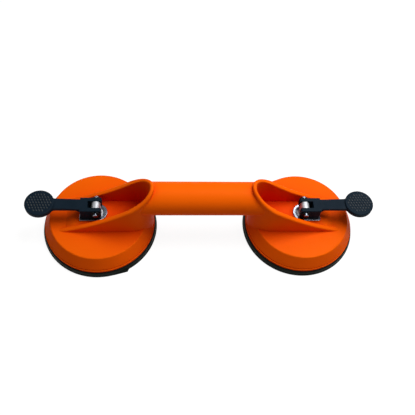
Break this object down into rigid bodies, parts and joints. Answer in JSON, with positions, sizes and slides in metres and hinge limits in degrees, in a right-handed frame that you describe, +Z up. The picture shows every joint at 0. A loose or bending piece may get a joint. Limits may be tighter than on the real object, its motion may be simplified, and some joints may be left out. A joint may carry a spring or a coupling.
{
  "type": "suction lifter",
  "caption": "Suction lifter: two round cup heads joined by a tube handle, each with a cam lever that raises a stud in its rubber cup.",
  "frame": {"origin": "on the ground midway between the cups, under the middle of the handle", "axes": "+X along the handle towards the right-hand cup, +Y away from the user, +Z up"},
  "size_m": [0.35, 0.118, 0.0783],
  "materials": {
    "orange_plastic": "satin moulded",
    "black_rubber": "matt",
    "black_plastic": "satin moulded",
    "zinc_steel": "zinc plated",
    "bright_steel": "polished"
  },
  "bodies": {
    "root": {"handle_tube": "orange_plastic", "head_left": "orange_plastic", "wear_plate_left": "bright_steel", "rubber_cup_left": "black_rubber", "head_right": "orange_plastic", "wear_plate_right": "bright_steel", "rubber_cup_right": "black_rubber"},
    "stud_left": {"insert_disc_left": "zinc_steel", "stud_bolt_left": "zinc_steel", "pull_rod_left": "zinc_steel", "hinge_pin_left": "bright_steel", "pin_clip_front_left": "bright_steel", "pin_clip_back_left": "bright_steel"},
    "lever_left": {"lever_left": "black_plastic"},
    "stud_right": {"insert_disc_right": "zinc_steel", "stud_bolt_right": "zinc_steel", "pull_rod_right": "zinc_steel", "hinge_pin_right": "bright_steel", "pin_clip_front_right": "bright_steel", "pin_clip_back_right": "bright_steel"},
    "lever_right": {"lever_right": "black_plastic"}
  },
  "joints": [
    {"name": "stud_slide_left", "type": "slide", "parent": "root", "child": "stud_left", "axis": [0, 0, 1], "range_m": [-0.005, 0], "deforming": ["rubber_cup_left"]},
    {"name": "lever_hinge_left", "type": "hinge", "parent": "stud_left", "child": "lever_left", "pos_m": [-0.106, 0, 0.0405], "axis": [0, 1, 0], "range_deg": [0, 90]},
    {"name": "stud_slide_right", "type": "slide", "parent": "root", "child": "stud_right", "axis": [0, 0, 1], "range_m": [-0.005, 0], "deforming": ["rubber_cup_right"]},
    {"name": "lever_hinge_right", "type": "hinge", "parent": "stud_right", "child": "lever_right", "pos_m": [0.106, 0, 0.0405], "axis": [0, -1, 0], "range_deg": [0, 90]}
  ],
  "couplings": [
    {"joint": "stud_slide_left", "follows": "lever_hinge_left", "m_per_rad": -0.0031831},
    {"joint": "stud_slide_right", "follows": "lever_hinge_right", "m_per_rad": -0.0031831}
  ]
}
